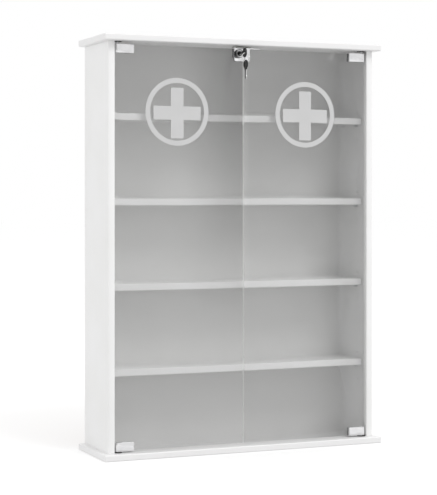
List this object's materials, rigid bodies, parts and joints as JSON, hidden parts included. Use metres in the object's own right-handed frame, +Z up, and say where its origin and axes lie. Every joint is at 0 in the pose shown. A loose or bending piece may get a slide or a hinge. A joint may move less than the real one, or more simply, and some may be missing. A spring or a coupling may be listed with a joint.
{
  "type": "lockable medicine cabinet",
  "caption": "Lockable wall medicine cabinet: white board body with shelves, grey satin glass doors on pivot clamps, each with a cross in a ring, and a glass-door lock with key and spare key.",
  "frame": {"origin": "centre of the bottom board's underside, halfway across its width and its depth", "axes": "+Z up, +X to the right as seen from the front, -Y out of the front through the doors, +Y towards the wall"},
  "size_m": [0.696, 0.2215, 0.95],
  "materials": {
    "white_board": "white melamine-faced board, satin",
    "white_back": "thin white lacquered hardboard",
    "grey_glass": "grey satined toughened glass",
    "white_print": "white screen print",
    "chrome_plate": "polished plated zinc casting",
    "steel": "zinc-plated steel",
    "black_steel": "black oxide",
    "key_steel": "nickel-plated",
    "brass_plug": "nickel-plated brass",
    "zinc": "cast and pressed, dull",
    "beech": "plain turned beech",
    "black_rubber": "soft, matt",
    "black_plastic": "moulded, fine grain",
    "white_plastic": "moulded",
    "white_paint": "powder coat on pressed steel",
    "dark_chrome": "black chrome plate"
  },
  "bodies": {
    "cabinet": {"top_board": "white_board", "bottom_board": "white_board", "left_side_panel": "white_board", "right_side_panel": "white_board", "back_panel": "white_back", "shelf_1": "white_board", "shelf_2": "white_board", "shelf_3": "white_board", "shelf_4": "white_board", "shelf_pins": "steel", "dowels": "beech", "cam_bolts": "steel", "cam_discs": "zinc", "wall_brackets": "white_paint", "wall_bracket_screws": "steel", "pivot_bushes": "black_plastic", "door_stop": "white_plastic", "door_stop_screws": "steel"},
    "left_door": {"left_door_glass": "grey_glass", "left_door_print": "white_print", "left_top_hinge_clamp": "chrome_plate", "left_bottom_hinge_clamp": "chrome_plate", "left_hinge_pads": "black_rubber", "left_hinge_screws": "black_steel", "left_pivot_pins": "steel", "lock_housing": "chrome_plate", "lock_barrel": "dark_chrome", "lock_pads": "black_rubber", "lock_clamp_screws": "black_steel"},
    "right_door": {"right_door_glass": "grey_glass", "right_door_print": "white_print", "right_top_hinge_clamp": "chrome_plate", "right_bottom_hinge_clamp": "chrome_plate", "right_hinge_pads": "black_rubber", "right_hinge_screws": "black_steel", "right_pivot_pins": "steel", "keeper": "chrome_plate", "keeper_pads": "black_rubber", "keeper_screws": "black_steel"},
    "plug": {"lock_plug": "brass_plug", "lock_crank": "steel"},
    "bolt": {"lock_bolt": "steel"},
    "key": {"key_blade": "key_steel", "key_head": "black_plastic"},
    "ring": {"key_ring": "key_steel"},
    "spare_key": {"spare_key_blade": "key_steel", "spare_key_head": "black_plastic"}
  },
  "joints": [
    {"name": "left_door_hinge", "type": "hinge", "parent": "cabinet", "child": "left_door", "pos_m": [-0.308, -0.065, 0.475], "axis": [0, 0, -1], "range_deg": [0, 95]},
    {"name": "right_door_hinge", "type": "hinge", "parent": "cabinet", "child": "right_door", "pos_m": [0.308, -0.065, 0.475], "axis": [0, 0, 1], "range_deg": [0, 95]},
    {"name": "lock_turn", "type": "hinge", "parent": "left_door", "child": "plug", "pos_m": [-0.017, -0.0825, 0.9167], "axis": [0, 1, 0], "range_deg": [0, 90]},
    {"name": "bolt_slide", "type": "slide", "parent": "left_door", "child": "bolt", "axis": [1, 0, 0], "range_m": [0, 0.00594]},
    {"name": "key_pull", "type": "slide", "parent": "plug", "child": "key", "axis": [0, -1, 0], "range_m": [-0.005, 0.0085]},
    {"name": "key_ring_swing", "type": "hinge", "parent": "key", "child": "ring", "pos_m": [-0.017, -0.1165, 0.9107], "axis": [0, 1, 0], "range_deg": [-65, 65]},
    {"name": "spare_key_swing", "type": "hinge", "parent": "ring", "child": "spare_key", "pos_m": [-0.017, -0.1165, 0.8955], "axis": [1, 0, 0], "range_deg": [-45, 45]}
  ],
  "couplings": [
    {"joint": "lock_turn", "follows": "bolt_slide", "rad_per_m": 264.55}
  ]
}
